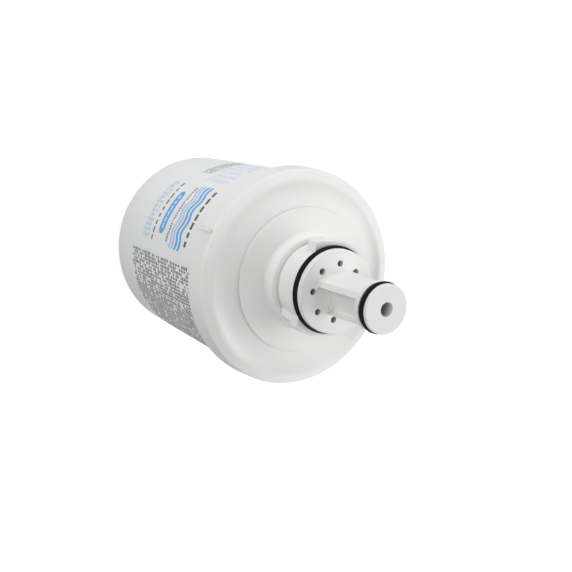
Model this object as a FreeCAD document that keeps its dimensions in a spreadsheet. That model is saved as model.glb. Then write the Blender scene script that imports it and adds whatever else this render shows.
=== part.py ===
import FreeCAD, Part
import math
import os
from types import SimpleNamespace

import Sketcher

# Fridge water filter cartridge: a welded can and head round a carbon block.
# Millimetres. The origin is the centre of the base, and +Z runs up the axis to the outlet tip.
# The numbers here are the driving dimensions, and every other size is worked out from them.
SIZES = {
    # The can
    "can_base_radius": 39.3,
    "can_top_radius": 39.85,
    "can_shoulder_height": 81.6,
    "can_wall": 2.4,
    "can_floor": 3.0,
    "can_base_round": 6.0,
    "can_lip_height": 5.0,
    "can_lip_thickness": 1.4,
    # The printed film round the can
    "label_low": 15.0,
    "label_top_margin": 1.9,
    "label_film": 0.15,
    # The head: collar, alignment ridge and dished face
    "weld_gap": 0.1,
    "collar_overhang": 2.35,
    "collar_band": 10.0,
    "collar_taper": 0.65,
    "collar_back_round": 1.3,
    "collar_front_round": 1.0,
    "ridge_width": 1.1,
    "ridge_proud": 0.45,
    "ridge_length": 8.0,
    "ridge_root": 2.0,
    "ridge_angle": 156.7,
    "head_wall": 2.6,
    "ledge_width": 2.3,
    "crest_lead": 3.98,
    "crest_rise": 2.0,
    "crest_round": 3.0,
    "dish_lead": 3.64,
    "dish_depth": 0.975,
    "dish_round": 8.0,
    "slope_width": 6.33,
    "slope_rise": 1.71,
    "step_ring_height": 1.065,
    "cone_rise": 1.8,
    # The boss, the neck and its inlet holes
    "boss_radius": 18.0,
    "boss_height": 4.5,
    "boss_round": 1.2,
    "boss_foot_round": 1.5,
    "neck_radius": 15.4,
    "neck_length": 15.3,
    "neck_land": 2.1,
    "neck_wall": 1.7,
    "neck_end_wall": 2.4,
    "chamber_flare": 1.5,
    "inlet_count": 8,
    "inlet_circle_radius": 10.25,
    "inlet_hole_radius": 1.2,
    # The stem and the outlet tip
    "stem_length": 22.1,
    "stem_root_radius": 8.6,
    "stem_tip_radius": 8.0,
    "stem_flat_half": 6.7,
    "stem_flange": 1.5,
    "stem_web_half": 3.9,
    "stem_turn_angle": 25.0,
    "stem_root_round": 0.8,
    "stem_pocket_round": 0.9,
    "tip_radius": 8.6,
    "tip_ring": 2.1,
    "tip_land": 1.2,
    "outlet_radius": 2.5,
    "edge_round": 0.35,
    # The outer O-rings and their grooves
    "seal_section": 2.62,
    "seal_proud_neck": 0.8,
    "seal_proud_tip": 0.35,
    "groove_width": 3.1,
    # The bayonet lugs
    "lug_count": 2,
    "lug_plain_end": 7.3,
    "lug_flat_rise": 2.3,
    "lug_corner_rise": 3.0,
    "lug_sink": 1.0,
    "lug_setback": 0.4,
    "lug_thickness": 5.05,
    "lug_edge_round": 0.5,
    "stop_width": 2.3,
    "stop_reach": 1.8,
    "stop_head_margin": 3.8,
    "stop_foot_margin": 2.3,
    # The filter element inside
    "fin_height": 6.0,
    "fin_thickness": 2.0,
    "fin_count": 4,
    "fin_hub_radius": 6.0,
    "flow_gap": 4.4,
    "cap_plate": 3.0,
    "cap_wall": 1.6,
    "cap_skirt": 5.0,
    "cap_plug": 4.0,
    "glue_gap": 0.1,
    "wrap_thickness": 1.2,
    "block_bore_radius": 8.0,
    "head_space": 6.0,
    "tube_gap": 5.0,
    "tube_wall": 1.8,
    "socket_radius": 5.6,
    "socket_roof_depth": 19.0,
    "pipe_gap": 0.2,
    "pipe_end_gap": 2.0,
    "pipe_seal_section": 1.8,
    "pipe_groove_width": 2.2,
    "pipe_land": 3.0,
}

SHEET = "Dimensions"
FULL_TURN = 360.0
SAME_PLACE = 1e-4
LEFT, RIGHT = 1, -1
START, END, CENTRE = range(1, 4)


class Size:
    """A length that holds its number and the sheet expression that gives it."""

    def __init__(self, number, text):
        self.number = number
        self.text = text

    def __add__(self, other):
        return Size(self.number + other.number, f"({self.text} + {other.text})")

    def __sub__(self, other):
        return Size(self.number - other.number, f"({self.text} - {other.text})")

    def __mul__(self, factor):
        return Size(self.number * factor, f"({self.text} * {factor})")

    def __neg__(self):
        return self * -1

    def share(self, part, whole):
        """This length times part over whole."""
        number = self.number * part.number / whole.number
        return Size(number, f"({self.text} * {part.text} / {whole.text})")

    def leg(self, other):
        """The other leg of a right triangle with this hypotenuse and that leg."""
        number = math.sqrt(self.number**2 - other.number**2)
        return Size(number, f"sqrt({self.text} ^ 2 - {other.text} ^ 2)")


def open_document():
    """The document with its sheet of driving dimensions, and the sizes by name."""
    document = FreeCAD.newDocument("water_filter_cartridge")
    sheet = document.addObject("Spreadsheet::Sheet", SHEET)
    for row, (alias, number) in enumerate(SIZES.items(), start=1):
        sheet.set(f"A{row}", alias.replace("_", " "))
        sheet.set(f"B{row}", str(number))
        sheet.setAlias(f"B{row}", alias)
    document.recompute()
    named = {alias: Size(number, f"{SHEET}.{alias}") for alias, number in SIZES.items()}
    return document, SimpleNamespace(**named)


def work_out(d):
    """Heights and radii that more than one piece needs."""
    shoulder = d.can_shoulder_height
    collar_radius = d.can_top_radius + d.collar_overhang
    front_radius = collar_radius - d.collar_taper
    front = shoulder + d.collar_band
    crest_radius = front_radius - d.crest_lead
    crest = front + d.crest_rise
    dish_radius = crest_radius - d.dish_lead
    dish = crest - d.dish_depth
    step_foot = dish + d.slope_rise
    step_ring = step_foot + d.step_ring_height
    boss_foot = step_ring + d.cone_rise
    boss_top = boss_foot + d.boss_height
    neck_face = boss_top + d.neck_length
    stem_end = neck_face + d.stem_length
    tip_groove_low = stem_end + d.tip_ring
    tip_groove_high = tip_groove_low + d.groove_width
    neck_groove_high = neck_face - d.neck_land
    neck_groove_low = neck_groove_high - d.groove_width
    lug_front = neck_groove_low - d.lug_setback
    neck_floor = d.neck_radius + d.seal_proud_neck - d.seal_section
    plate_low = d.can_floor + d.fin_height
    element_top = shoulder - d.head_space
    cap_radius = d.can_base_radius - d.can_wall - d.flow_gap
    wrap_radius = cap_radius - d.cap_wall - d.glue_gap
    socket_top = neck_face - d.socket_roof_depth
    pipe_top = socket_top - d.pipe_end_gap
    return SimpleNamespace(
        shoulder=shoulder,
        lip_outer=d.can_top_radius - d.can_wall + d.can_lip_thickness,
        lip_inner=d.can_top_radius - d.can_wall,
        lip_top=shoulder + d.can_lip_height,
        label_high=shoulder - d.label_top_margin,
        collar_radius=collar_radius,
        front_radius=front_radius,
        front=front,
        crest_radius=crest_radius,
        crest=crest,
        dish_radius=dish_radius,
        dish=dish,
        step_ring_radius=dish_radius - d.slope_width,
        step_foot=step_foot,
        step_ring=step_ring,
        boss_foot=boss_foot,
        boss_top=boss_top,
        neck_face=neck_face,
        neck_floor=neck_floor,
        neck_groove_high=neck_groove_high,
        neck_groove_low=neck_groove_low,
        chamber=neck_floor - d.neck_wall,
        stem_end=stem_end,
        tip_floor=d.tip_radius + d.seal_proud_tip - d.seal_section,
        tip_groove_low=tip_groove_low,
        tip_groove_high=tip_groove_high,
        tip_face=tip_groove_high + d.tip_land,
        lug_front=lug_front,
        lug_rear=lug_front - d.lug_thickness,
        plate_low=plate_low,
        block_low=plate_low + d.cap_plate,
        block_high=element_top - d.cap_plate,
        element_top=element_top,
        cap_radius=cap_radius,
        wrap_radius=wrap_radius,
        block_radius=wrap_radius - d.wrap_thickness,
        plug_radius=d.block_bore_radius - d.glue_gap,
        socket_top=socket_top,
        tube_low=element_top + d.tube_gap,
        pipe_radius=d.socket_radius - d.pipe_gap,
        pipe_floor=d.socket_radius - d.pipe_seal_section,
        pipe_top=pipe_top,
        pipe_groove_high=pipe_top - d.pipe_land,
        pipe_groove_low=pipe_top - d.pipe_land - d.pipe_groove_width,
    )


def new_body(document, name):
    """An empty body whose label names its file."""
    body = document.addObject("PartDesign::Body", name)
    body.Label = name
    return body


def origin_feature(body, role):
    """One of a body's own origin planes or axes."""
    return next(item for item in body.Origin.OriginFeatures if item.Role == role)


def new_sketch(body, name, plane, height=None, turn=None):
    """A sketch on one of the body's origin planes, raised and turned about the axis if asked."""
    sketch = body.newObject("Sketcher::SketchObject", name)
    sketch.AttachmentSupport = (origin_feature(body, plane), [""])
    sketch.MapMode = "FlatFace"
    if height is not None:
        sketch.setExpression("AttachmentOffset.Base.z", height.text)
    if turn is not None:
        sketch.setExpression("AttachmentOffset.Rotation.Angle", turn.text)
    return sketch


def arc_through(start, end, radius, side):
    """The shorter arc of a radius from start to end, with its centre on the left or right."""
    chord = end - start
    middle = (start + end) * 0.5
    across = FreeCAD.Vector(-chord.y, chord.x, 0)
    across.normalize()
    sagitta_side = math.sqrt(radius**2 - chord.Length**2 / 4)
    centre = middle + across * sagitta_side * side
    first, last = (start, end) if side == LEFT else (end, start)
    first_angle = math.atan2(first.y - centre.y, first.x - centre.x)
    last_angle = math.atan2(last.y - centre.y, last.x - centre.x)
    circle = Part.Circle(centre, FreeCAD.Vector(0, 0, 1), radius)
    return Part.ArcOfCircle(circle, first_angle, last_angle)


def place_point(rows, geometry, end, across, up):
    """Queue the constraints that hold one point: None puts it on that axis."""
    for kind, axis, size in (("DistanceX", -2, across), ("DistanceY", -1, up)):
        if size is None:
            rows.append((Sketcher.Constraint("PointOnObject", geometry, end, axis), None))
        else:
            constraint = Sketcher.Constraint(kind, -1, 1, geometry, end, size.number)
            rows.append((constraint, size))


def add_constraints(sketch, rows):
    """Add queued constraints and bind each that has a size to the sheet."""
    first = sketch.ConstraintCount
    sketch.addConstraint([constraint for constraint, _ in rows])
    for index, (_, size) in enumerate(rows, start=first):
        if size is not None:
            sketch.setExpression(f"Constraints[{index}]", size.text)


def draw_outline(sketch, corners):
    """Draw a closed outline.

    A corner is (across, up), or (across, up, radius, side) where an arc arrives at it.
    """
    points = [FreeCAD.Vector(*(0 if c is None else c.number for c in corner[:2])) for corner in corners]
    first = sketch.GeometryCount
    ends = []
    for index, corner in enumerate(corners):
        start, end = points[index - 1], points[index]
        arrives_by_arc = len(corner) > 2
        if arrives_by_arc:
            radius, side = corner[2:]
            sketch.addGeometry(arc_through(start, end, radius.number, side))
            ends.append((START, END) if side == LEFT else (END, START))
        else:
            sketch.addGeometry(Part.LineSegment(start, end))
            ends.append((START, END))
    rows = []
    for index, corner in enumerate(corners):
        following = (index + 1) % len(corners)
        here, there = first + index, first + following
        joint = Sketcher.Constraint("Coincident", here, ends[index][1], there, ends[following][0])
        rows.append((joint, None))
        place_point(rows, here, ends[index][1], *corner[:2])
        if len(corner) > 2:
            radius = corner[2]
            rows.append((Sketcher.Constraint("Radius", here, radius.number), radius))
    add_constraints(sketch, rows)


def draw_circle(sketch, across, radius):
    """Draw a circle whose centre lies on the sketch's horizontal axis."""
    circle = Part.Circle(FreeCAD.Vector(across.number, 0, 0), FreeCAD.Vector(0, 0, 1), radius.number)
    geometry = sketch.addGeometry(circle)
    rows = [(Sketcher.Constraint("Radius", geometry, radius.number), radius)]
    place_point(rows, geometry, CENTRE, across, None)
    add_constraints(sketch, rows)


def revolve(body, name, corners):
    """A solid of revolution about the cartridge's axis."""
    sketch = new_sketch(body, f"{name}_outline", "XZ_Plane")
    draw_outline(sketch, corners)
    feature = body.newObject("PartDesign::Revolution", name)
    feature.Profile = sketch
    feature.ReferenceAxis = (sketch, ["V_Axis"])
    feature.Angle = FULL_TURN
    return feature


def pad_up(body, name, sketch, length):
    """Add material from a level sketch, upwards."""
    feature = body.newObject("PartDesign::Pad", name)
    feature.Profile = sketch
    feature.setExpression("Length", length.text)
    return feature


def cut_down(body, name, sketch, depth):
    """Take material away from a level sketch, downwards, and see that some went."""
    body.Document.recompute()
    before = body.Shape.Volume
    feature = body.newObject("PartDesign::Pocket", name)
    feature.Profile = sketch
    feature.setExpression("Length", depth.text)
    body.Document.recompute()
    if body.Shape.Volume >= before:
        raise RuntimeError(f"{name} cut nothing")
    return feature


def polar(body, name, features, count):
    """Repeat features evenly round the axis."""
    pattern = body.newObject("PartDesign::PolarPattern", name)
    pattern.Originals = features
    pattern.Axis = (origin_feature(body, "Z_Axis"), [""])
    pattern.Angle = FULL_TURN
    pattern.setExpression("Occurrences", count.text)
    body.Tip = pattern
    body.Document.recompute()
    return pattern


def round_edges(body, name, radius, chosen):
    """Round the edges of the body's last feature that a test picks."""
    body.Document.recompute()
    base = body.Tip
    names = [f"Edge{i}" for i, edge in enumerate(base.Shape.Edges, start=1) if chosen(edge)]
    if not names:
        raise RuntimeError(f"{name} found no edge")
    feature = body.newObject("PartDesign::Fillet", name)
    feature.Base = (base, names)
    feature.setExpression("Radius", radius.text)
    body.Document.recompute()
    return feature


def is_ring(edge, radius, height):
    """Whether an edge is the circle of a radius at a height on the axis."""
    box = edge.BoundBox
    level = abs(box.ZMin - height) < SAME_PLACE and abs(box.ZMax - height) < SAME_PLACE
    return level and abs(box.XMax - radius) < SAME_PLACE and edge.isClosed()


def can_radius(d, height):
    """The drafted can's outer radius at a height."""
    draft = d.can_top_radius - d.can_base_radius
    return d.can_base_radius + draft.share(height, d.can_shoulder_height)


def make_can(document, d, at):
    """The moulded can: drafted wall, rounded base and weld lip."""
    body = new_body(document, "sump_body")
    base_bore = d.can_base_radius - d.can_wall
    corners = [
        (None, None),
        (d.can_base_radius, None),
        (d.can_top_radius, at.shoulder),
        (at.lip_outer, at.shoulder),
        (at.lip_outer, at.lip_top),
        (at.lip_inner, at.lip_top),
        (at.lip_inner, at.shoulder),
        (base_bore, d.can_floor),
        (None, d.can_floor),
    ]
    revolve(body, "can_wall", corners)
    round_edges(
        body, "base_round", d.can_base_round,
        lambda edge: is_ring(edge, d.can_base_radius.number, 0.0),
    )
    round_edges(
        body, "floor_round", d.can_base_round - d.can_wall,
        lambda edge: is_ring(edge, base_bore.number, d.can_floor.number),
    )
    return body


def make_label(document, d, at):
    """The printed film, wrapped once round the drafted can."""
    body = new_body(document, "wrap_label")
    low = can_radius(d, d.label_low)
    high = can_radius(d, at.label_high)
    corners = [
        (low, d.label_low),
        (low + d.label_film, d.label_low),
        (high + d.label_film, at.label_high),
        (high, at.label_high),
    ]
    revolve(body, "film", corners)
    return body


def head_outline(d, at):
    """Half section of the head, from the outlet bore out over the face to the collar and back inside."""
    boss_foot_radius = d.boss_radius + d.boss_foot_round
    lip_bore = at.lip_outer + d.weld_gap
    chamber_roof = at.neck_face - d.neck_end_wall
    dome_edge = at.boss_foot - d.head_wall
    tube_radius = d.socket_radius + d.tube_wall
    tip_and_stem = [
        (d.outlet_radius, at.tip_face),
        (d.tip_radius - d.edge_round, at.tip_face),
        (d.tip_radius, at.tip_face - d.edge_round, d.edge_round, RIGHT),
        (d.tip_radius, at.tip_groove_high),
        (at.tip_floor, at.tip_groove_high),
        (at.tip_floor, at.tip_groove_low),
        (d.tip_radius, at.tip_groove_low),
        (d.tip_radius, at.stem_end),
        (d.stem_tip_radius, at.stem_end),
        (d.stem_root_radius, at.neck_face),
    ]
    neck_and_boss = [
        (d.neck_radius - d.edge_round, at.neck_face),
        (d.neck_radius, at.neck_face - d.edge_round, d.edge_round, RIGHT),
        (d.neck_radius, at.neck_groove_high),
        (at.neck_floor, at.neck_groove_high),
        (at.neck_floor, at.neck_groove_low),
        (d.neck_radius, at.neck_groove_low),
        (d.neck_radius, at.boss_top),
        (d.boss_radius - d.boss_round, at.boss_top),
        (d.boss_radius, at.boss_top - d.boss_round, d.boss_round, RIGHT),
        (d.boss_radius, at.boss_foot + d.boss_foot_round),
        (boss_foot_radius, at.boss_foot, d.boss_foot_round, LEFT),
    ]
    face_and_collar = [
        (at.step_ring_radius, at.step_ring),
        (at.step_ring_radius, at.step_foot),
        (at.dish_radius, at.dish),
        (at.crest_radius, at.crest),
        (at.front_radius, at.front),
        (at.collar_radius, at.shoulder),
    ]
    inside = [
        (lip_bore, at.shoulder),
        (lip_bore, at.lip_top),
        (lip_bore - d.ledge_width, at.lip_top),
        (at.dish_radius, at.dish - d.head_wall),
        (at.step_ring_radius, at.step_foot - d.head_wall),
        (boss_foot_radius, dome_edge),
        (at.chamber, dome_edge + d.chamber_flare),
        (at.chamber, chamber_roof),
        (tube_radius, chamber_roof),
        (tube_radius, at.tube_low),
        (d.socket_radius, at.tube_low),
        (d.socket_radius, at.socket_top),
        (d.outlet_radius, at.socket_top),
    ]
    return tip_and_stem + neck_and_boss + face_and_collar + inside


def round_collar(body, d, at):
    """Round the collar's two edges, the crest and the dish between it and the face."""
    rings = [
        ("collar_back", d.collar_back_round, at.collar_radius, at.shoulder),
        ("collar_front", d.collar_front_round, at.front_radius, at.front),
        ("crest", d.crest_round, at.crest_radius, at.crest),
        ("dish", d.dish_round, at.dish_radius, at.dish),
    ]
    for name, radius, across, up in rings:
        round_edges(body, name, radius, lambda edge: is_ring(edge, across.number, up.number))


def add_ridge(body, d, at):
    """The alignment ridge along the collar's side."""
    low = at.shoulder + d.collar_back_round
    sketch = new_sketch(body, "ridge_outline", "XY_Plane", low, d.ridge_angle)
    inner = at.front_radius - d.ridge_root
    outer = at.collar_radius + d.ridge_proud
    half = d.ridge_width * 0.5
    draw_outline(sketch, [(inner, -half), (outer, -half), (outer, half), (inner, half)])
    pad_up(body, "alignment_ridge", sketch, d.ridge_length)


def cut_stem(body, d, at):
    """Two flats and two deep pockets turn the round stem into a pocketed bar with a web."""
    beyond = d.neck_radius
    flange_inner = d.stem_flat_half - d.stem_flange
    flats = new_sketch(body, "stem_flats_outline", "XY_Plane", at.stem_end, d.stem_turn_angle)
    pockets = new_sketch(body, "stem_pockets_outline", "XY_Plane", at.stem_end, d.stem_turn_angle)
    for sign in (1, -1):
        flat = d.stem_flat_half * sign
        edge = beyond * sign
        draw_outline(flats, [(-beyond, flat), (beyond, flat), (beyond, edge), (-beyond, edge)])
        web = d.stem_web_half * sign
        draw_outline(
            pockets,
            [(web, -flange_inner), (edge, -flange_inner), (edge, flange_inner), (web, flange_inner)],
        )
    cut_down(body, "stem_flats", flats, d.stem_length)
    cut_down(body, "stem_pockets", pockets, d.stem_length)
    corner_reach = math.hypot(d.stem_web_half.number, flange_inner.number)

    def pocket_corner(edge):
        box = edge.BoundBox
        upright = max(box.XLength, box.YLength) < SAME_PLACE
        return upright and abs(math.hypot(box.XMin, box.YMin) - corner_reach) < SAME_PLACE

    round_edges(body, "pocket_round", d.stem_pocket_round, pocket_corner)

    def stem_foot(edge):
        box = edge.BoundBox
        level = abs(box.ZMin - at.neck_face.number) < SAME_PLACE and box.ZLength < SAME_PLACE
        reach = max(math.hypot(point.X, point.Y) for point in edge.Vertexes)
        return level and d.outlet_radius.number < reach < d.inlet_circle_radius.number

    round_edges(body, "stem_root_round", d.stem_root_round, stem_foot)


def drill_inlets(body, d, at):
    """A ring of small holes through the neck's end wall."""
    sketch = new_sketch(body, "inlet_outline", "XY_Plane", at.neck_face)
    draw_circle(sketch, d.inlet_circle_radius, d.inlet_hole_radius)
    hole = cut_down(body, "inlet_hole", sketch, d.neck_end_wall)
    polar(body, "inlet_holes", [hole], d.inlet_count)


def stop_outline(body, name, d, height, far):
    """One level of the stop: a short block on the neck that ends at a distance across."""
    near = d.neck_radius - d.stop_head_margin - d.stop_width
    seat = d.neck_radius - d.lug_sink
    outer = d.neck_radius + d.stop_reach
    sketch = new_sketch(body, name, "XY_Plane", height)
    draw_outline(sketch, [
        (near, seat.leg(near), seat, LEFT),
        (near, outer.leg(near)),
        (far, outer.leg(far), outer, RIGHT),
        (far, seat.leg(far)),
    ])
    return sketch


def add_bayonet(body, d, at):
    """Flat-topped lugs, each with a stop that widens down to the boss."""
    seat = d.neck_radius - d.lug_sink
    corner = d.neck_radius + d.lug_corner_rise
    flat = d.neck_radius + d.lug_flat_rise
    plain = -d.lug_plain_end
    stop = d.neck_radius - d.stop_head_margin
    stop_foot = d.neck_radius - d.stop_foot_margin
    flat_half = corner.leg(flat)
    lug = new_sketch(body, "lug_outline", "XY_Plane", at.lug_rear)
    draw_outline(lug, [
        (plain, seat.leg(d.lug_plain_end), seat, LEFT),
        (plain, corner.leg(d.lug_plain_end)),
        (-flat_half, flat, corner, RIGHT),
        (flat_half, flat),
        (stop, corner.leg(stop), corner, RIGHT),
        (stop, seat.leg(stop)),
    ])
    lug_pad = pad_up(body, "lug", lug, d.lug_thickness)
    foot = stop_outline(body, "stop_foot_outline", d, at.boss_top - d.lug_sink, stop_foot)
    head = stop_outline(body, "stop_head_outline", d, at.lug_rear + d.lug_sink, stop)
    lug_stop = body.newObject("PartDesign::AdditiveLoft", "lug_stop")
    lug_stop.Profile = foot
    lug_stop.Sections = [head]
    lug_stop.Ruled = True
    polar(body, "bayonet", [lug_pad, lug_stop], d.lug_count)

    def lug_rim(edge):
        box = edge.BoundBox
        level = abs(box.ZMin - at.lug_front.number) < SAME_PLACE and box.ZLength < SAME_PLACE
        reach = min(math.hypot(point.X, point.Y) for point in edge.Vertexes)
        return level and reach > flat.number - SAME_PLACE

    round_edges(body, "lug_rim_round", d.lug_edge_round, lug_rim)


def make_head(document, d, at):
    """The moulded head, from the weld skirt to the outlet tip."""
    body = new_body(document, "head_cap")
    revolve(body, "head_wall", head_outline(d, at))
    round_collar(body, d, at)
    add_ridge(body, d, at)
    cut_stem(body, d, at)
    drill_inlets(body, d, at)
    add_bayonet(body, d, at)
    return body


def make_seal(document, name, middle_radius, section, height):
    """An O-ring seated on the floor of its groove."""
    ring = document.addObject("Part::Torus", name)
    ring.Label = name
    ring.setExpression("Radius1", middle_radius.text)
    ring.setExpression("Radius2", (section * 0.5).text)
    ring.setExpression("Placement.Base.z", height.text)
    return ring


def make_seals(document, d, at):
    """The inlet and outlet seals outside and the pipe's seal inside."""
    half = d.seal_section * 0.5
    pipe_half = d.pipe_seal_section * 0.5
    neck_middle = (at.neck_groove_high + at.neck_groove_low) * 0.5
    tip_middle = (at.tip_groove_high + at.tip_groove_low) * 0.5
    pipe_middle = (at.pipe_groove_high + at.pipe_groove_low) * 0.5
    return [
        make_seal(document, "neck_o_ring", at.neck_floor + half, d.seal_section, neck_middle),
        make_seal(document, "spigot_o_ring", at.tip_floor + half, d.seal_section, tip_middle),
        make_seal(document, "stem_o_ring", at.pipe_floor + pipe_half, d.pipe_seal_section, pipe_middle),
    ]


def make_block(document, d, at):
    """The bonded carbon cylinder, bored along its axis."""
    body = new_body(document, "carbon_block")
    corners = [
        (d.block_bore_radius, at.block_low),
        (at.block_radius, at.block_low),
        (at.block_radius, at.block_high),
        (d.block_bore_radius, at.block_high),
    ]
    revolve(body, "block", corners)
    return body


def make_wrap(document, d, at):
    """The nonwoven sleeve on the carbon block, between the two end caps' plates."""
    body = new_body(document, "prefilter_wrap")
    corners = [
        (at.block_radius, at.block_low),
        (at.wrap_radius, at.block_low),
        (at.wrap_radius, at.block_high),
        (at.block_radius, at.block_high),
    ]
    revolve(body, "sleeve", corners)
    return body


def make_bottom_cap(document, d, at):
    """The closed end cap: plate, skirt, plug and the fins that stand on the can's floor."""
    body = new_body(document, "bottom_end_cap")
    skirt_bore = at.cap_radius - d.cap_wall
    skirt_top = at.block_low + d.cap_skirt
    plug_top = at.block_low + d.cap_plug
    corners = [
        (None, at.plate_low),
        (at.cap_radius, at.plate_low),
        (at.cap_radius, skirt_top),
        (skirt_bore, skirt_top),
        (skirt_bore, at.block_low),
        (at.plug_radius, at.block_low),
        (at.plug_radius, plug_top),
        (None, plug_top),
    ]
    revolve(body, "bottom_plate", corners)
    sketch = new_sketch(body, "fin_outline", "XY_Plane", d.can_floor)
    half = d.fin_thickness * 0.5
    inner = d.fin_hub_radius
    outer = at.cap_radius - d.cap_wall
    draw_outline(sketch, [(inner, -half), (outer, -half), (outer, half), (inner, half)])
    fin = pad_up(body, "fin", sketch, d.fin_height)
    polar(body, "fins", [fin], d.fin_count)
    return body


def make_top_cap(document, d, at):
    """The end cap whose pipe carries the filtered water up into the head's socket."""
    body = new_body(document, "top_end_cap")
    skirt_bore = at.cap_radius - d.cap_wall
    skirt_low = at.block_high - d.cap_skirt
    plug_low = at.block_high - d.cap_plug
    corners = [
        (d.outlet_radius, plug_low),
        (at.plug_radius, plug_low),
        (at.plug_radius, at.block_high),
        (skirt_bore, at.block_high),
        (skirt_bore, skirt_low),
        (at.cap_radius, skirt_low),
        (at.cap_radius, at.element_top),
        (at.pipe_radius, at.element_top),
        (at.pipe_radius, at.pipe_groove_low),
        (at.pipe_floor, at.pipe_groove_low),
        (at.pipe_floor, at.pipe_groove_high),
        (at.pipe_radius, at.pipe_groove_high),
        (at.pipe_radius, at.pipe_top),
        (d.outlet_radius, at.pipe_top),
    ]
    revolve(body, "top_plate", corners)
    return body


def check(document, pieces):
    """Stop if any feature failed or any piece has no sound solid."""
    for item in document.Objects:
        if "Invalid" in item.State or "Error" in item.State:
            raise RuntimeError(f"{item.Name} failed: {item.State}")
    for piece in pieces:
        shape = piece.Shape
        if shape.isNull() or not shape.isValid() or len(shape.Solids) != 1:
            raise RuntimeError(f"{piece.Label} is not one sound solid")


def main():
    """Build every piece, check it and write it to its own file."""
    document, d = open_document()
    at = work_out(d)
    pieces = [
        make_can(document, d, at),
        make_label(document, d, at),
        make_head(document, d, at),
        *make_seals(document, d, at),
        make_block(document, d, at),
        make_wrap(document, d, at),
        make_bottom_cap(document, d, at),
        make_top_cap(document, d, at),
    ]
    document.recompute()
    check(document, pieces)
    os.makedirs("parts", exist_ok=True)
    for piece in pieces:
        piece.Shape.exportStep(f"parts/{piece.Label}.step")
        print(piece.Label, round(piece.Shape.Volume, 1))


main()
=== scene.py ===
"""Looks of a fridge water filter cartridge: moulded shell, printed film label, rubber seals and studio."""

import enum
import logging
import math
from dataclasses import dataclass, field
from typing import Any, ClassVar, Optional, Union

import bmesh
import bpy
from mathutils import Matrix, Vector


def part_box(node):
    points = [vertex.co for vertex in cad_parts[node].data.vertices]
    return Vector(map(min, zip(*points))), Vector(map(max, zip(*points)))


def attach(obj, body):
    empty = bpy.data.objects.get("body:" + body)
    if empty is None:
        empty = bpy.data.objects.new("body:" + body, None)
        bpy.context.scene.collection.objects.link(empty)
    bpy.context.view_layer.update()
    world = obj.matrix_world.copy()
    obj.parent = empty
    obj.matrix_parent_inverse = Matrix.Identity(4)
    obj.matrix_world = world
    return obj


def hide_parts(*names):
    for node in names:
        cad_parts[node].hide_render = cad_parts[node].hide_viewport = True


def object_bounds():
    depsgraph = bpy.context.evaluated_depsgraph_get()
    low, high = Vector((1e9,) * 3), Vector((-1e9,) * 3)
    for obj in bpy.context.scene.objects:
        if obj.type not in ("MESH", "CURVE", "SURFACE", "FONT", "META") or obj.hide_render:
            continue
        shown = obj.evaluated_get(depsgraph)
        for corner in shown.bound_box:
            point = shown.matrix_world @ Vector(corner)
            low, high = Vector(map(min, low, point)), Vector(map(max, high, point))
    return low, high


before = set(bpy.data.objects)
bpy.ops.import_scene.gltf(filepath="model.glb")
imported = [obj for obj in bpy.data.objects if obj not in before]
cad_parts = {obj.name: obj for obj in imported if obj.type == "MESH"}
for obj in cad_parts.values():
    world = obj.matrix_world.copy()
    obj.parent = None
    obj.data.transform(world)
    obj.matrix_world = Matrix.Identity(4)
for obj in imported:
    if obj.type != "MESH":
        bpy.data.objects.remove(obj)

CAD_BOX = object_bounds()
MM = 0.001
ROOT = "root"
LOG = logging.getLogger("cartridge")

# What may feed a socket: an output, or a node whose first output is meant
Link = Union[bpy.types.Node, bpy.types.NodeSocket]
# The sockets of a Mix node set to colour, and of a Random Value node, whose names stand for several sockets
MIX_SHARE, MIX_FIRST, MIX_SECOND, MIX_RESULT = 0, 6, 7, 2
RANDOM_LEAST, RANDOM_MOST, RANDOM_NUMBER, RANDOM_CHOICE = 2, 3, 1, 3
# A grid's vertices along a side that stays straight
STRAIGHT = 2


def linear(hex_colour: str) -> tuple[float, float, float, float]:
    """Turn an sRGB hex colour into linear RGBA.

    Args:
        hex_colour: Six hex digits with a leading hash.

    Returns:
        The linear red, green and blue with full alpha.
    """
    channels = [int(hex_colour[i : i + 2], 16) / 255.0 for i in (1, 3, 5)]
    red, green, blue = (
        c / 12.92 if c <= 0.04045 else ((c + 0.055) / 1.055) ** 2.4 for c in channels
    )
    return (red, green, blue, 1.0)


def add_node(
    tree: bpy.types.NodeTree, kind: str, inputs: Optional[dict[Any, Any]] = None, **settings: Any
) -> bpy.types.Node:
    """Add one node to a tree, with its settings, values and links.

    Args:
        tree: The shader or geometry tree that gets the node.
        kind: The node's type name.
        inputs: Socket name or index to a value or a link, or to a list of links where a socket joins them.
        **settings: Properties set on the node before its sockets are filled.

    Returns:
        The new node.
    """
    node = tree.nodes.new(kind)
    for name, value in settings.items():
        setattr(node, name, value)
    for key, value in (inputs or {}).items():
        for source in value if isinstance(value, list) else [value]:
            if isinstance(source, bpy.types.Node):
                source = source.outputs[0]
            if isinstance(source, bpy.types.NodeSocket):
                tree.links.new(source, node.inputs[key])
            else:
                node.inputs[key].default_value = source
    return node


# Finishes


class Ink(enum.Enum):
    """The print's colours on the label, each where the ink lies thick and where it lies thin."""

    BLACK = ("#242327", "#38363B")
    GREY = ("#6C6D72", "#84858A")
    BLUE = ("#3A94D6", "#52A6E0")
    PALE_BLUE = ("#8DB4DE", "#A3C4E6")
    WHITE = ("#E0E7EE", "#EEF2F6")


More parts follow.
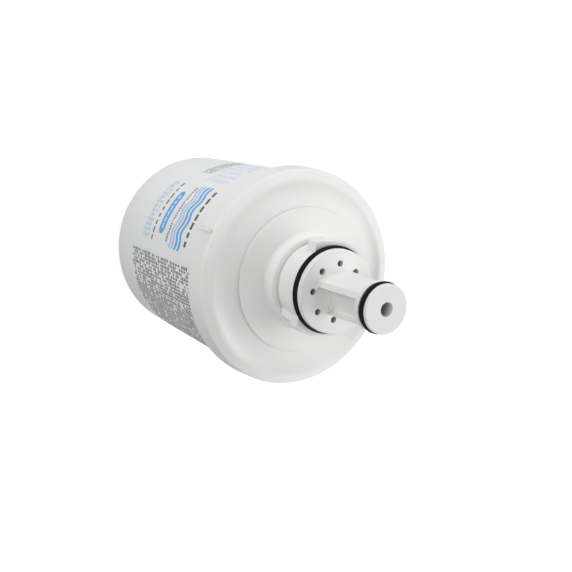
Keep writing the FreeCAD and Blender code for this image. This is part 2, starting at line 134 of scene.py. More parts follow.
@dataclass(frozen=True)
class Shade:
    """Painted shade: a darkening of the colour of the places on a surface that are closed in, where shade
    falls.

    It looks round each point as far as its reach. Where the open share of that view is at `shut` or less, the
    colour falls to `dark`, and from `clear` up it stays as it is.
    """

    reach_mm: float
    shut: float
    clear: float
    dark: float

    SAMPLES: ClassVar[int] = 8

    def apply(self, tree: bpy.types.NodeTree, colour: Link) -> bpy.types.NodeSocket:
        """Paint shade into a colour.

        Args:
            tree: The material's tree.
            colour: The colour so far.

        Returns:
            The colour with painted shade in its closed-in places.
        """
        view = add_node(
            tree, "ShaderNodeAmbientOcclusion", {"Distance": self.reach_mm * MM}, samples=self.SAMPLES
        )
        level = add_node(
            tree,
            "ShaderNodeMapRange",
            {
                "Value": view.outputs["AO"],
                "From Min": self.shut,
                "From Max": self.clear,
                "To Min": self.dark,
                "To Max": 1.0,
            },
        )
        return add_node(
            tree,
            "ShaderNodeMix",
            {MIX_SHARE: 1.0, MIX_FIRST: colour, MIX_SECOND: level},
            data_type="RGBA",
            blend_type="MULTIPLY",
        ).outputs[MIX_RESULT]


@dataclass(frozen=True)
class Finish:
    """A dielectric surface: two close colours mixed by a soft mottle, with fine relief.

    The mottle gives the eye a surface that isn't one flat colour, and the relief breaks up its gloss.
    """

    name: str
    dark: str
    pale: str
    roughness: tuple[float, float]
    mottle_mm: float
    relief_mm: float
    relief_depth_mm: float
    ior: float = 1.5
    translucency: float = 0.0
    coat: float = 0.0
    painted_shades: tuple[Shade, ...] = ()

    MOTTLE_DETAIL: ClassVar[float] = 3.0
    RELIEF_DETAIL: ClassVar[float] = 2.0
    RELIEF_STRENGTH: ClassVar[float] = 0.5
    GLOW_DEPTH_MM: ClassVar[tuple[float, float, float]] = (3.0, 2.6, 2.2)
    COAT_ROUGHNESS: ClassVar[float] = 0.2

    def build(self) -> bpy.types.Material:
        """Make the material, or fetch it where it is made already.

        Returns:
            The material.
        """
        made = bpy.data.materials.get(self.name)
        if made:
            return made
        material = bpy.data.materials.new(self.name)
        material.use_nodes = True
        tree = material.node_tree
        place = add_node(tree, "ShaderNodeTexCoord").outputs["Object"]
        mottle = add_node(
            tree,
            "ShaderNodeTexNoise",
            {"Vector": place, "Scale": 1.0 / (self.mottle_mm * MM), "Detail": self.MOTTLE_DETAIL},
        ).outputs["Fac"]
        colour = add_node(
            tree,
            "ShaderNodeMix",
            {MIX_SHARE: mottle, MIX_FIRST: linear(self.dark), MIX_SECOND: linear(self.pale)},
            data_type="RGBA",
        ).outputs[MIX_RESULT]
        # Painted shade: each of these darkens the colour where the surface is closed in
        for shade in self.painted_shades:
            colour = shade.apply(tree, colour)
        smooth, rough = self.roughness
        gloss = add_node(
            tree, "ShaderNodeMapRange", {"Value": mottle, "To Min": smooth, "To Max": rough}
        ).outputs["Result"]
        grain = add_node(
            tree,
            "ShaderNodeTexNoise",
            {"Vector": place, "Scale": 1.0 / (self.relief_mm * MM), "Detail": self.RELIEF_DETAIL},
        ).outputs["Fac"]
        normal = add_node(
            tree,
            "ShaderNodeBump",
            {"Height": grain, "Strength": self.RELIEF_STRENGTH, "Distance": self.relief_depth_mm * MM},
        ).outputs["Normal"]
        shader = tree.nodes["Principled BSDF"]
        for socket, source in (("Base Color", colour), ("Roughness", gloss), ("Normal", normal)):
            tree.links.new(source, shader.inputs[socket])
        shader.inputs["IOR"].default_value = self.ior
        shader.inputs["Subsurface Weight"].default_value = self.translucency
        shader.inputs["Subsurface Radius"].default_value = self.GLOW_DEPTH_MM
        shader.inputs["Subsurface Scale"].default_value = MM
        shader.inputs["Coat Weight"].default_value = self.coat
        shader.inputs["Coat Roughness"].default_value = self.COAT_ROUGHNESS
        return material


# White polypropylene, moulded: soft sheen and a slightly cool white that lets a little light in.
# Its spark-eroded texture is about 0.1 mm and is drawn at 0.6 mm, so that it still shows.
# Painted shade greys its inner corners a little and makes its narrow holes dark inside.
WHITE_POLYPROPYLENE = Finish(
    "white_polypropylene_moulded",
    "#E4E5E3",
    "#EAEAE9",
    roughness=(0.5, 0.6),
    mottle_mm=14.0,
    relief_mm=0.6,
    relief_depth_mm=0.004,
    ior=1.49,
    translucency=0.06,
    painted_shades=(Shade(1.0, 0.0, 1.0, 0.5), Shade(6.0, 0.1, 0.5, 0.28)),
)
# Polypropylene film, printed and laminated: smoother than the moulding, with a thin clear coat.
PRINTED_FILM = Finish(
    "polypropylene_film_laminated",
    "#E3E5E6",
    "#E9EAEB",
    roughness=(0.46, 0.54),
    mottle_mm=20.0,
    relief_mm=2.5,
    relief_depth_mm=0.006,
    ior=1.49,
    coat=0.05,
)
# Nitrile rubber, press moulded: matte black with a dull bloom where it has been handled.
# The bloom scatters light, so it shines less than its usual IOR of about 1.5 would give.
NITRILE_RUBBER = Finish(
    "nitrile_rubber_moulded",
    "#050506",
    "#0D0D0F",
    roughness=(0.6, 0.8),
    mottle_mm=3.0,
    relief_mm=0.4,
    relief_depth_mm=0.012,
    ior=1.22,
)
# Carbon powder, bonded and sintered: coarse, dead black grains.
BONDED_CARBON = Finish(
    "bonded_carbon_sintered",
    "#0C0C0C",
    "#262626",
    roughness=(0.8, 0.95),
    mottle_mm=1.2,
    relief_mm=0.5,
    relief_depth_mm=0.15,
    ior=1.45,
)
# Polypropylene fibre, spunbonded: an off-white felt of fine threads.
SPUNBOND = Finish(
    "polypropylene_spunbond",
    "#D6D4CC",
    "#E8E7E1",
    roughness=(0.8, 0.95),
    mottle_mm=1.5,
    relief_mm=0.4,
    relief_depth_mm=0.1,
    ior=1.45,
)
# Natural polypropylene, moulded without pigment: milky and waxy.
NATURAL_POLYPROPYLENE = Finish(
    "natural_polypropylene_moulded",
    "#C9C8BE",
    "#D6D5CC",
    roughness=(0.4, 0.5),
    mottle_mm=10.0,
    relief_mm=0.6,
    relief_depth_mm=0.004,
    ior=1.49,
    translucency=0.3,
)


def ink_finish(ink: Ink) -> Finish:
    """A litho ink: a solid of slightly uneven density under the film's own sheen."""
    return Finish(
        f"litho_ink_{ink.name.lower()}",
        *ink.value,
        roughness=(0.36, 0.44),
        mottle_mm=2.0,
        relief_mm=2.5,
        relief_depth_mm=0.004,
    )


# Geometry trees


@dataclass
class Tree:
    """A geometry node tree with named inputs, ready to be baked into plain meshes."""

    name: str
    group: bpy.types.NodeTree = field(init=False)
    given: bpy.types.Node = field(init=False)

    KINDS: ClassVar[dict[Optional[type], str]] = {
        float: "NodeSocketFloat",
        int: "NodeSocketInt",
        None: "NodeSocketMaterial",
    }

    def open(self, **inputs: Optional[type]) -> None:
        """Make the empty tree.

        Args:
            **inputs: Input name to its type; None means a material.
        """
        self.group = bpy.data.node_groups.new(self.name, "GeometryNodeTree")
        self.group.interface.new_socket(
            name="Geometry", in_out="OUTPUT", socket_type="NodeSocketGeometry"
        )
        for name, kind in inputs.items():
            self.group.interface.new_socket(name=name, in_out="INPUT", socket_type=self.KINDS[kind])
        self.given = self.group.nodes.new("NodeGroupInput")

    def value(self, name: str) -> bpy.types.NodeSocket:
        """The socket of one named input."""
        return self.given.outputs[name]

    def close(self, geometry: Link, material: str) -> None:
        """End the tree in real geometry with smooth shading and its material.

        Args:
            geometry: What the tree has drawn.
            material: The name of the input that holds the material.
        """
        real = add_node(self.group, "GeometryNodeRealizeInstances", {0: geometry})
        smooth = add_node(self.group, "GeometryNodeSetShadeSmooth", {0: real})
        dressed = add_node(
            self.group,
            "GeometryNodeSetMaterial",
            {"Geometry": smooth, "Material": self.value(material)},
        )
        add_node(self.group, "NodeGroupOutput", {0: dressed})

    def bake(self, **values: Any) -> bpy.types.Mesh:
        """Run the tree once and keep its result as a plain mesh.

        Args:
            **values: Input name to value.

        Returns:
            The baked mesh.
        """
        holder = bpy.data.objects.new(self.name, bpy.data.meshes.new(self.name))
        bpy.context.scene.collection.objects.link(holder)
        modifier = holder.modifiers.new(self.name, "NODES")
        modifier.node_group = self.group
        for item in self.group.interface.items_tree:
            if item.in_out == "INPUT":
                modifier[item.identifier] = values[item.name]
        evaluated = holder.evaluated_get(bpy.context.evaluated_depsgraph_get())
        mesh = bpy.data.meshes.new_from_object(evaluated)
        bpy.data.objects.remove(holder)
        return mesh


def join_meshes(name: str, meshes: list[bpy.types.Mesh]) -> bpy.types.Object:
    """Put several meshes into one object at the origin, keeping their materials.

    Args:
        name: The object's name.
        meshes: The meshes to join, each with its materials.

    Returns:
        The linked object.
    """
    materials: list[bpy.types.Material] = []
    build = bmesh.new()
    for mesh in meshes:
        first = len(build.faces)
        build.from_mesh(mesh)
        build.faces.ensure_lookup_table()
        slots = list(mesh.materials)
        materials += [slot for slot in slots if slot not in materials]
        for face in build.faces[first:]:
            face.material_index = materials.index(slots[face.material_index])
    joined = bpy.data.meshes.new(name)
    build.to_mesh(joined)
    build.free()
    for material in materials:
        joined.materials.append(material)
    piece = bpy.data.objects.new(name, joined)
    bpy.context.scene.collection.objects.link(piece)
    return piece


def dress_node(name: str, finish: Finish) -> None:
    """Give a solid that keeps its own shape its material.

    Args:
        name: The solid's node.
        finish: What it is made of.
    """
    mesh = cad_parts[name].data
    mesh.materials.clear()
    mesh.materials.append(finish.build())
    LOG.info("%s dressed in %s", name, finish.name)


# Sub-assemblies


@dataclass
class Shell:
    """The welded can and head, whose solids already have the moulded shape."""

    nodes: tuple[str, ...] = ("sump_body", "head_cap")

    def dress(self) -> None:
        """Give both mouldings their plastic."""
        for name in self.nodes:
            dress_node(name, WHITE_POLYPROPYLENE)


@dataclass
class FilterElement:
    """The parts sealed inside the can."""

    finishes: dict[str, Finish] = field(
        default_factory=lambda: {
            "carbon_block": BONDED_CARBON,
            "prefilter_wrap": SPUNBOND,
            "top_end_cap": NATURAL_POLYPROPYLENE,
            "bottom_end_cap": NATURAL_POLYPROPYLENE,
            "stem_o_ring": NITRILE_RUBBER,
        }
    )

    def dress(self) -> None:
        """Give each inner part its own material."""
        for name, finish in self.finishes.items():
            dress_node(name, finish)


@dataclass
class Seals:
    """The two outer O-rings, with the fine flash line that the mould leaves round them."""

    flash_width_mm: float = 0.22
    flash_proud_mm: float = 0.05
    steps_round: int = 224
    steps_section: int = 36
    names: tuple[str, ...] = ("neck_o_ring", "spigot_o_ring")

    def tree(self) -> Tree:
        """Draw a ring round the axis at a height, with its flash line.

        Returns:
            The tree, with the ring's sizes as its inputs.
        """
        tree = Tree("seal_ring")
        tree.open(
            Ring=float, Section=float, Height=float, Flash_width=float, Flash_proud=float,
            Steps_round=int, Steps_section=int, Rubber=None,
        )
        group = tree.group
        half = add_node(
            group, "ShaderNodeMath", {0: tree.value("Section"), 1: 0.5}, operation="MULTIPLY"
        )
        path = add_node(
            group,
            "GeometryNodeCurvePrimitiveCircle",
            {"Resolution": tree.value("Steps_round"), "Radius": tree.value("Ring")},
        )
        section = add_node(
            group,
            "GeometryNodeCurvePrimitiveCircle",
            {"Resolution": tree.value("Steps_section"), "Radius": half},
        )
        ring = add_node(group, "GeometryNodeCurveToMesh", {"Curve": path, "Profile Curve": section})
        rim = add_node(
            group,
            "GeometryNodeCurvePrimitiveCircle",
            {
                "Resolution": tree.value("Steps_round"),
                "Radius": add_node(
                    group, "ShaderNodeMath", {0: tree.value("Ring"), 1: half}, operation="ADD"
                ),
            },
        )
        bead = add_node(
            group,
            "GeometryNodeCurvePrimitiveQuadrilateral",
            {
                "Width": add_node(
                    group, "ShaderNodeMath", {0: tree.value("Flash_proud"), 1: 2.0}, operation="MULTIPLY"
                ),
                "Height": tree.value("Flash_width"),
            },
        )
        flash = add_node(group, "GeometryNodeCurveToMesh", {"Curve": rim, "Profile Curve": bead})
        both = add_node(group, "GeometryNodeJoinGeometry", {0: [flash, ring]})
        lift = add_node(group, "ShaderNodeCombineXYZ", {"Z": tree.value("Height")})
        raised = add_node(group, "GeometryNodeSetPosition", {"Geometry": both, "Offset": lift})
        tree.close(raised, "Rubber")
        return tree

    def build(self) -> None:
        """Make both rings in place of their plain solids.

        Each takes its size and its height from the box of the solid that it stands for.
        """
        tree = self.tree()
        rubber = NITRILE_RUBBER.build()
        for name in self.names:
            low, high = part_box(name)
            section = high.z - low.z
            mesh = tree.bake(
                Ring=high.x - section / 2,
                Section=section,
                Height=(low.z + high.z) / 2,
                Flash_width=self.flash_width_mm * MM,
                Flash_proud=self.flash_proud_mm * MM,
                Steps_round=self.steps_round,
                Steps_section=self.steps_section,
                Rubber=rubber,
            )
            piece = join_meshes(f"{name}_moulded", [mesh])
            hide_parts(name)
            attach(piece, ROOT)
            LOG.info("%s: %d faces", piece.name, len(piece.data.polygons))


@dataclass
class Printed:
    """One item of print: its ink, and where it starts in degrees round and millimetres up the can.

    An item that lies on another has a higher layer. Its sizes are in millimetres.
    """

    ink: Ink
    start: float
    low: float
    layer: int = field(default=1, kw_only=True)


@dataclass
class Lines(Printed):
    """A block of greeked print: rows of short bars in place of words."""

    width: float
    height: float
    words: int
    rows: int
    bar: float
    seed: int
    skip: float = 0.1

    def sizes(self) -> dict[str, Any]:
        """The block's own inputs to its tree."""
        return {
            "Width": self.width * MM,
            "Height": self.height * MM,
            "Words": self.words,
            "Rows": self.rows,
            "Bar": self.bar * MM,
            "Skip": self.skip,
            "Seed": self.seed,
        }


@dataclass
class Badge(Printed):
    """One solid patch with rounded corners."""

    width: float
    height: float
    corner: float

    def sizes(self) -> dict[str, Any]:
        """The badge's own inputs to its tree."""
        return {
            "Width": self.width * MM,
            "Height": self.height * MM,
            "Corner": self.corner * MM,
        }


@dataclass
class Waves(Printed):
    """A stack of wavy stripes."""

    width: float
    stripe: float
    swing: float
    wave: float
    stripes: int
    pitch: float

    def sizes(self) -> dict[str, Any]:
        """The stack's own inputs to its tree."""
        return {
            "Width": self.width * MM,
            "Stripe": self.stripe * MM,
            "Swing": self.swing * MM,
            "Wave": self.wave * MM,
            "Stripes": self.stripes,
            "Pitch": self.pitch * MM,
        }


@dataclass
class Label:
    """The printed film round the can: a thin shell with an overlapped end and its print."""

    base_radius_mm: float = 39.3
    top_radius_mm: float = 39.85
    shoulder_mm: float = 81.6
    film_mm: float = 0.06
    lap_start_deg: float = 318.0
    lap_width_deg: float = 8.0
    lap_edge_deg: float = 0.05
    steps_round: int = 288
    steps_up: int = 16
    ink_lift_mm: float = 0.02
    ink_sink_mm: float = 0.02
    ink_rim_deg: float = 40.0
    weld_mm: float = 0.001
    shortest_bar: float = 0.55
    bar_steps: int = 4
    badge_corner_steps: int = 8
    badge_splits: int = 4
    wave_steps: int = 96
    lines: tuple[Lines, ...] = (
        # Four paragraphs of small print, stacked along the axis
        Lines(Ink.BLACK, 180.0, 64.4, width=54.0, height=13.2, words=40, rows=10, bar=0.95, seed=1, skip=0.2),
        Lines(Ink.BLACK, 180.0, 49.6, width=54.0, height=13.2, words=40, rows=10, bar=0.95, seed=2, skip=0.2),
        Lines(Ink.BLACK, 180.0, 36.2, width=54.0, height=11.6, words=40, rows=9, bar=0.92, seed=3, skip=0.2),
        Lines(Ink.BLACK, 180.0, 23.0, width=54.0, height=11.6, words=40, rows=9, bar=0.92, seed=4, skip=0.2),
        # Two short notes and two headings beside the waves
        Lines(Ink.PALE_BLUE, 133.0, 31.0, width=25.0, height=4.6, words=13, rows=4, bar=0.7, seed=5),
        Lines(Ink.BLACK, 134.0, 53.4, width=24.0, height=0.9, words=22, rows=2, bar=0.55, seed=6),
        Lines(Ink.BLACK, 133.5, 40.0, width=25.0, height=0.0, words=9, rows=1, bar=1.2, seed=9, skip=0.0),
        Lines(Ink.BLACK, 135.5, 70.8, width=22.0, height=0.0, words=7, rows=1, bar=1.8, seed=10, skip=0.0),
        # The badge's own line
        Lines(
            Ink.WHITE, 142.5, 46.9, layer=2,
            width=13.0, height=0.0, words=6, rows=1, bar=1.1, seed=11, skip=0.0,
        ),
        # A small table and its notes
        Lines(Ink.GREY, 97.0, 41.0, width=15.0, height=8.0, words=16, rows=10, bar=0.45, seed=7),
        Lines(Ink.PALE_BLUE, 100.0, 53.0, width=17.0, height=17.0, words=6, rows=9, bar=0.45, seed=8),
    )
    badges: tuple[Badge, ...] = (Badge(Ink.BLUE, 138.0, 44.4, width=19.5, height=5.0, corner=2.5),)
    waves: tuple[Waves, ...] = (
        Waves(Ink.PALE_BLUE, 131.5, 57.4, width=28.0, stripe=1.3, swing=0.8, wave=9.3, stripes=2, pitch=2.4),
        Waves(Ink.BLUE, 131.5, 62.6, width=28.0, stripe=1.8, swing=0.8, wave=9.3, stripes=2, pitch=3.0),
    )

    # The inputs that every print tree has for its place on the can
    PLACE: ClassVar[dict[str, Optional[type]]] = {
        "Start": float,
        "Low": float,
        "Radius": float,
        "Draft": float,
        "Depth": float,
        "Ink": None,
    }

    @property
    def draft(self) -> float:
        """The gain in the can's radius for each unit of its height."""
        return (self.top_radius_mm - self.base_radius_mm) / self.shoulder_mm

    def radius(self, height: float) -> float:
        """Outer radius of the film at a height, in metres."""
        return (self.base_radius_mm + self.film_mm) * MM + self.draft * height

    def film(self) -> bpy.types.Mesh:
        """Make the film as a closed thin shell, a second layer thick where its end laps over.

        Returns:
            The film's mesh with its material.
        """
        low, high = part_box("wrap_label")
        lap_end = self.lap_start_deg + self.lap_width_deg
        turns = [360.0 * i / self.steps_round for i in range(self.steps_round)]
        turns = sorted(turns + [self.lap_start_deg - self.lap_edge_deg, lap_end + self.lap_edge_deg])
        shares = [i / self.steps_up for i in range(self.steps_up + 1)]
        build = bmesh.new()
        columns = []
        for turn in turns:
            angle = math.radians(turn)
            across = Vector((math.cos(angle), math.sin(angle), 0.0))
            lapped = self.lap_start_deg <= turn <= lap_end
            outside = self.film_mm if lapped else 0.0
            column = []
            for proud_mm, climb in ((outside, shares), (-self.film_mm, shares[::-1])):
                for share in climb:
                    height = low.z + (high.z - low.z) * share
                    reach = self.radius(height) + proud_mm * MM
                    column.append(build.verts.new(across * reach + Vector((0.0, 0.0, height))))
            columns.append(column)
        count = len(columns[0])
        ends = (self.steps_up, count - 1)
        for here, there in zip(columns, columns[1:] + columns[:1]):
            for i in range(count):
                j = (i + 1) % count
                face = build.faces.new((here[i], there[i], there[j], here[j]))
                face.smooth = i not in ends
                if not face.smooth:
                    for edge in face.edges:
                        edge.smooth = False
        mesh = bpy.data.meshes.new("film")
        build.to_mesh(mesh)
        build.free()
        mesh.materials.append(PRINTED_FILM.build())
        return mesh

    def thicken(self, tree: Tree, flat: Link) -> bpy.types.Node:
        """Make flat print into closed slabs of ink.

        Args:
            tree: The tree that holds the print, with the inputs of PLACE.
            flat: The print's faces at the foot of the ink.

        Returns:
            The slabs.
        """
        up = add_node(tree.group, "ShaderNodeCombineXYZ", {"Z": tree.value("Depth")})
        raised = add_node(
            tree.group, "GeometryNodeExtrudeMesh", {"Mesh": flat, "Offset": up, "Individual": False}
        )
        under = add_node(tree.group, "GeometryNodeFlipFaces", {"Mesh": flat})
        both = add_node(tree.group, "GeometryNodeJoinGeometry", {0: [under, raised]})
        return add_node(
            tree.group, "GeometryNodeMergeByDistance", {"Geometry": both, "Distance": self.weld_mm * MM}
        )

    def wrap(self, tree: Tree, flat: Link) -> None:
        """Thicken flat print, bend it round the can and close its tree.

        Args:
            tree: The tree that holds the print, with the inputs of PLACE.
            flat: The print, laid flat with X round the can and Y up it.
        """
        group = tree.group
        slabs = self.thicken(tree, add_node(group, "GeometryNodeRealizeInstances", {0: flat}))
        spot = add_node(
            group, "ShaderNodeSeparateXYZ", {0: add_node(group, "GeometryNodeInputPosition")}
        ).outputs
        swept = add_node(
            group, "ShaderNodeMath", {0: spot["X"], 1: tree.value("Radius")}, operation="DIVIDE"
        )
        turn = add_node(group, "ShaderNodeMath", {0: tree.value("Start"), 1: swept}, operation="ADD")
        height = add_node(group, "ShaderNodeMath", {0: tree.value("Low"), 1: spot["Y"]}, operation="ADD")
        foot = add_node(
            group,
            "ShaderNodeMath",
            {0: height, 1: tree.value("Draft"), 2: tree.value("Radius")},
            operation="MULTIPLY_ADD",
        )
        reach = add_node(group, "ShaderNodeMath", {0: foot, 1: spot["Z"]}, operation="ADD")
        along = {
            axis: add_node(
                group,
                "ShaderNodeMath",
                {0: reach, 1: add_node(group, "ShaderNodeMath", {0: turn}, operation=wave)},
                operation="MULTIPLY",
            )
            for axis, wave in (("X", "COSINE"), ("Y", "SINE"))
        }
        bent = add_node(group, "ShaderNodeCombineXYZ", {**along, "Z": height})
        wrapped = add_node(group, "GeometryNodeSetPosition", {"Geometry": slabs, "Position": bent})
        corner = add_node(group, "GeometryNodeInputMeshEdgeAngle").outputs["Unsigned Angle"]
        rims = add_node(
            group, "ShaderNodeMath", {0: corner, 1: math.radians(self.ink_rim_deg)}, operation="GREATER_THAN"
        )
        crisp = add_node(
            group,
            "GeometryNodeSetShadeSmooth",
            {0: wrapped, "Selection": rims, "Shade Smooth": False},
            domain="EDGE",
        )
        tree.close(crisp, "Ink")

    def from_corner(self, tree: Tree, centred: Link) -> bpy.types.Node:
        """Move centred print so that its lower left corner is at the origin.

        Args:
            tree: The tree that holds the print, with Width and Height among its inputs.
            centred: The print, centred on the origin.

        Returns:
            The moved print.
        """
        halves = {
            axis: add_node(tree.group, "ShaderNodeMath", {0: tree.value(size), 1: 0.5}, operation="MULTIPLY")
            for axis, size in (("X", "Width"), ("Y", "Height"))
        }
        shift = add_node(tree.group, "ShaderNodeCombineXYZ", halves)
        return add_node(tree.group, "GeometryNodeSetPosition", {"Geometry": centred, "Offset": shift})

    def lines_tree(self) -> Tree:
        """Draw rows of bars of random length, with a few left out.

        Returns:
            The tree, with the block's sizes and place as its inputs.
        """
        tree = Tree("greeked_lines")
        tree.open(
            Width=float, Height=float, Words=int, Rows=int, Bar=float, Skip=float, Seed=int, **self.PLACE
        )
        group = tree.group
        grid = add_node(
            group,
            "GeometryNodeMeshGrid",
            {
                "Size X": tree.value("Width"),
                "Size Y": tree.value("Height"),
                "Vertices X": tree.value("Words"),
                "Vertices Y": tree.value("Rows"),
            },
        )
        words = self.from_corner(tree, add_node(group, "GeometryNodeMeshToPoints", {"Mesh": grid}))
        gone = add_node(
            group,
            "FunctionNodeRandomValue",
            {"Probability": tree.value("Skip"), "Seed": tree.value("Seed")},
            data_type="BOOLEAN",
        ).outputs[RANDOM_CHOICE]
        kept = add_node(
            group, "GeometryNodeDeleteGeometry", {"Geometry": words, "Selection": gone}, domain="POINT"
        )
        room = add_node(
            group, "ShaderNodeMath", {0: tree.value("Width"), 1: tree.value("Words")}, operation="DIVIDE"
        )
        share = add_node(
            group,
            "FunctionNodeRandomValue",
            {RANDOM_LEAST: self.shortest_bar, RANDOM_MOST: 1.0, "Seed": tree.value("Seed")},
            data_type="FLOAT",
        ).outputs[RANDOM_NUMBER]
        length = add_node(group, "ShaderNodeMath", {0: room, 1: share}, operation="MULTIPLY")
        size = add_node(group, "ShaderNodeCombineXYZ", {"X": length, "Y": tree.value("Bar"), "Z": 1.0})
        bar = add_node(
            group,
            "GeometryNodeMeshGrid",
            {"Size X": 1.0, "Size Y": 1.0, "Vertices X": self.bar_steps, "Vertices Y": STRAIGHT},
        )
        bars = add_node(
            group, "GeometryNodeInstanceOnPoints", {"Points": kept, "Instance": bar, "Scale": size}
        )
        self.wrap(tree, bars)
        return tree

    def badge_tree(self) -> Tree:
        """Draw a solid patch with rounded corners.

        Returns:
            The tree, with the badge's sizes and place as its inputs.
        """
        tree = Tree("rounded_badge")
        tree.open(Width=float, Height=float, Corner=float, **self.PLACE)
        group = tree.group
        outline = add_node(
            group,
            "GeometryNodeCurvePrimitiveQuadrilateral",
            {"Width": tree.value("Width"), "Height": tree.value("Height")},
        )
        rounded = add_node(
            group,
            "GeometryNodeFilletCurve",
            {
                "Curve": outline,
                "Radius": tree.value("Corner"),
                "Limit Radius": True,
                "Count": self.badge_corner_steps,
            },
            mode="POLY",
        )
        filled = add_node(group, "GeometryNodeFillCurve", {"Curve": rounded})
        patch = add_node(
            group, "GeometryNodeSubdivideMesh", {"Mesh": filled, "Level": self.badge_splits}
        )
        self.wrap(tree, self.from_corner(tree, patch))
        return tree

    def waves_tree(self) -> Tree:
        """Draw wavy stripes, stacked up the can.

        Returns:
            The tree, with the stack's sizes and place as its inputs.
        """
        tree = Tree("wavy_stripes")
        tree.open(
            Width=float, Stripe=float, Swing=float, Wave=float, Stripes=int, Pitch=float, **self.PLACE
        )
        group = tree.group
        stripe = add_node(
            group,
            "GeometryNodeMeshGrid",
            {
                "Size X": tree.value("Width"),
                "Size Y": tree.value("Stripe"),
                "Vertices X": self.wave_steps,
                "Vertices Y": STRAIGHT,
            },
        )
        spot = add_node(
            group, "ShaderNodeSeparateXYZ", {0: add_node(group, "GeometryNodeInputPosition")}
        ).outputs
        waves = add_node(
            group, "ShaderNodeMath", {0: spot["X"], 1: tree.value("Wave")}, operation="DIVIDE"
        )
        phase = add_node(group, "ShaderNodeMath", {0: waves, 1: math.tau}, operation="MULTIPLY")
        sine = add_node(group, "ShaderNodeMath", {0: phase}, operation="SINE")
        shift = add_node(
            group,
            "ShaderNodeCombineXYZ",
            {
                "X": add_node(
                    group, "ShaderNodeMath", {0: tree.value("Width"), 1: 0.5}, operation="MULTIPLY"
                ),
                "Y": add_node(
                    group, "ShaderNodeMath", {0: sine, 1: tree.value("Swing")}, operation="MULTIPLY"
                ),
            },
        )
        wavy = add_node(group, "GeometryNodeSetPosition", {"Geometry": stripe, "Offset": shift})
        climb = add_node(group, "ShaderNodeCombineXYZ", {"Y": tree.value("Pitch")})
        column = add_node(
            group, "GeometryNodeMeshLine", {"Count": tree.value("Stripes"), "Offset": climb}
        )
        self.wrap(
            tree, add_node(group, "GeometryNodeInstanceOnPoints", {"Points": column, "Instance": wavy})
        )
        return tree

    def place(self, item: Printed) -> dict[str, Any]:
        """Work out the inputs that put one item of print on the can.

        Args:
            item: The item of print.

        Returns:
            Input name to value, for the names in PLACE.
        """
        return {
            "Start": math.radians(item.start),
            "Low": item.low * MM,
            "Radius": self.radius(0.0) - self.ink_sink_mm * MM,
            "Draft": self.draft,
            "Depth": (self.ink_sink_mm + self.ink_lift_mm * item.layer) * MM,
            "Ink": ink_finish(item.ink).build(),
        }

    def build(self) -> None:
        """Make the film with its print, in place of the plain wrap.

        The print is let into the film, so that no gap shows under it.
        """
        meshes = [self.film()]
        for tree, items in (
            (self.lines_tree(), self.lines),
            (self.badge_tree(), self.badges),
            (self.waves_tree(), self.waves),
        ):
            meshes += [tree.bake(**item.sizes(), **self.place(item)) for item in items]
        piece = join_meshes("wrap_label_printed", meshes)
        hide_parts("wrap_label")
        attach(piece, ROOT)
        LOG.info("%s: %d faces", piece.name, len(piece.data.polygons))


# Studio


@dataclass(frozen=True)
class Softbox:
    """A square soft light, aimed at the middle of the cartridge.

    It hangs at a turn round the axis and a rise above the level, both in degrees. Its side and how far away it
    is are in metres, and its power is in watts.
    """

    name: str
    turn: float
    rise: float
    power: float
    side: float = 0.6
    away: float = 1.0

    def build(self, aim: Vector) -> None:
        """Hang the light.

        Args:
            aim: The point that it faces.
        """
        light = bpy.data.lights.new(self.name, "AREA")
        light.size = self.side
        light.energy = self.power
        lamp = bpy.data.objects.new(self.name, light)
        turn, rise = math.radians(self.turn), math.radians(self.rise)
        towards = Vector(
            (math.cos(rise) * math.cos(turn), math.cos(rise) * math.sin(turn), math.sin(rise))
        )
        lamp.location = aim + towards * self.away
        lamp.rotation_euler = towards.to_track_quat("Z", "Y").to_euler()
        lamp.visible_camera = False
        bpy.context.scene.collection.objects.link(lamp)


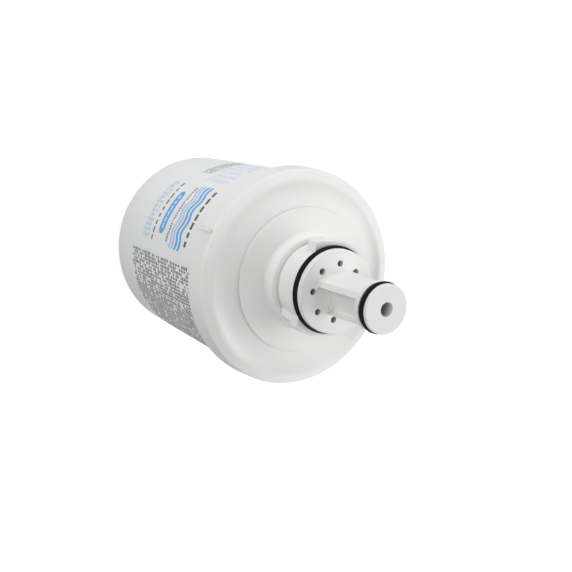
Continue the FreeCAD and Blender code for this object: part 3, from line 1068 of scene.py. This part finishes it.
@dataclass
class Studio:
    """White floor, soft lights and the camera at the photograph's angle."""

    floor_side: float = 8.0
    paper: str = "#767676"
    paper_roughness: float = 0.9
    floor_white: float = 0.9
    ambient: float = 0.1
    lens_mm: float = 53.3
    sensor_mm: float = 36.0
    nearest: float = 0.01
    eye_mm: tuple[float, float, float] = (-176.1, 50.9, 357.1)
    right: tuple[float, float, float] = (0.8461, 0.1061, 0.5224)
    up: tuple[float, float, float] = (0.0, 0.98, -0.199)
    lights: tuple[Softbox, ...] = (
        Softbox("top_softbox", turn=75.0, rise=12.0, power=6.0),
        Softbox("low_softbox", turn=305.0, rise=12.0, power=4.6),
        Softbox("right_softbox", turn=0.0, rise=35.0, power=3.4),
        Softbox("left_softbox", turn=170.0, rise=40.0, power=4.6),
        Softbox("overhead_softbox", turn=0.0, rise=65.0, power=1.7),
        Softbox("label_softbox", turn=158.0, rise=-11.0, power=0.42, side=0.12, away=0.32),
    )

    def build(self) -> None:
        """Set the stage, the lights, the surroundings and the camera."""
        scene = bpy.context.scene
        scene.view_settings.view_transform = "Standard"
        self.lay_floor(scene)
        low, high = CAD_BOX
        for light in self.lights:
            light.build((low + high) / 2)
        self.surround(scene)
        self.stand_camera(scene)

    def stand_camera(self, scene: bpy.types.Scene) -> None:
        """Put the camera where the photograph was taken from.

        Args:
            scene: The scene that it looks at.
        """
        camera = bpy.data.cameras.new("camera")
        camera.lens = self.lens_mm
        camera.sensor_width = self.sensor_mm
        camera.clip_start = self.nearest
        eye = bpy.data.objects.new("camera", camera)
        right, up = Vector(self.right).normalized(), Vector(self.up).normalized()
        turn = Matrix((right, up, right.cross(up))).transposed().to_4x4()
        eye.matrix_world = Matrix.Translation(Vector(self.eye_mm) * MM) @ turn
        scene.collection.objects.link(eye)
        scene.camera = eye

    def seen_by_eye(self, tree: bpy.types.NodeTree) -> Link:
        """Tell the rays of the camera, of mirrors and of glass from the rest.

        Args:
            tree: The tree that asks.

        Returns:
            One for those rays, else nought.
        """
        path = add_node(tree, "ShaderNodeLightPath").outputs
        seen = path["Is Camera Ray"]
        for ray in ("Is Glossy Ray", "Is Transmission Ray"):
            seen = add_node(tree, "ShaderNodeMath", {0: seen, 1: path[ray]}, operation="MAXIMUM")
        return seen

    def lay_floor(self, scene: bpy.types.Scene) -> None:
        """Lay a wide white floor that keeps a trace of the cartridge's shadow.

        Args:
            scene: The scene that gets the floor.
        """
        # Dull grey paper with a glow that only the eye sees: it looks white, and throws little light back up
        material = bpy.data.materials.new("white_paper_sweep")
        material.use_nodes = True
        tree = material.node_tree
        paper = tree.nodes["Principled BSDF"]
        paper.inputs["Base Color"].default_value = linear(self.paper)
        paper.inputs["Roughness"].default_value = self.paper_roughness
        paper.inputs["Specular IOR Level"].default_value = 0.0
        level = add_node(
            tree, "ShaderNodeMath", {0: self.seen_by_eye(tree), 1: self.floor_white}, operation="MULTIPLY"
        )
        glow = add_node(tree, "ShaderNodeEmission", {"Strength": level})
        both = add_node(tree, "ShaderNodeAddShader", {0: paper, 1: glow})
        tree.links.new(both.outputs[0], tree.nodes["Material Output"].inputs["Surface"])
        half = self.floor_side / 2
        corners = ((-half, -half), (half, -half), (half, half), (-half, half))
        build = bmesh.new()
        build.faces.new([build.verts.new((x, y, 0.0)) for x, y in corners])
        mesh = bpy.data.meshes.new("floor")
        build.to_mesh(mesh)
        build.free()
        mesh.materials.append(material)
        sheet = bpy.data.objects.new("floor", mesh)
        scene.collection.objects.link(sheet)

    def surround(self, scene: bpy.types.Scene) -> None:
        """Give even grey light from all round, which the camera and reflections see as white.

        Args:
            scene: The scene whose world is made.
        """
        world = bpy.data.worlds.new("studio")
        world.use_nodes = True
        tree = world.node_tree
        glow = tree.nodes["Background"]
        glow.inputs["Color"].default_value = (1.0, 1.0, 1.0, 1.0)
        level = add_node(
            tree,
            "ShaderNodeMapRange",
            {"Value": self.seen_by_eye(tree), "To Min": self.ambient, "To Max": 1.0},
        )
        tree.links.new(level.outputs["Result"], glow.inputs["Strength"])
        scene.world = world


def main() -> None:
    """Build each sub-assembly in order and report its pieces."""
    logging.basicConfig(level=logging.INFO, format="%(name)s: %(message)s")
    Shell().dress()
    FilterElement().dress()
    Seals().build()
    Label().build()
    Studio().build()


if __name__ == "__main__":
    main()
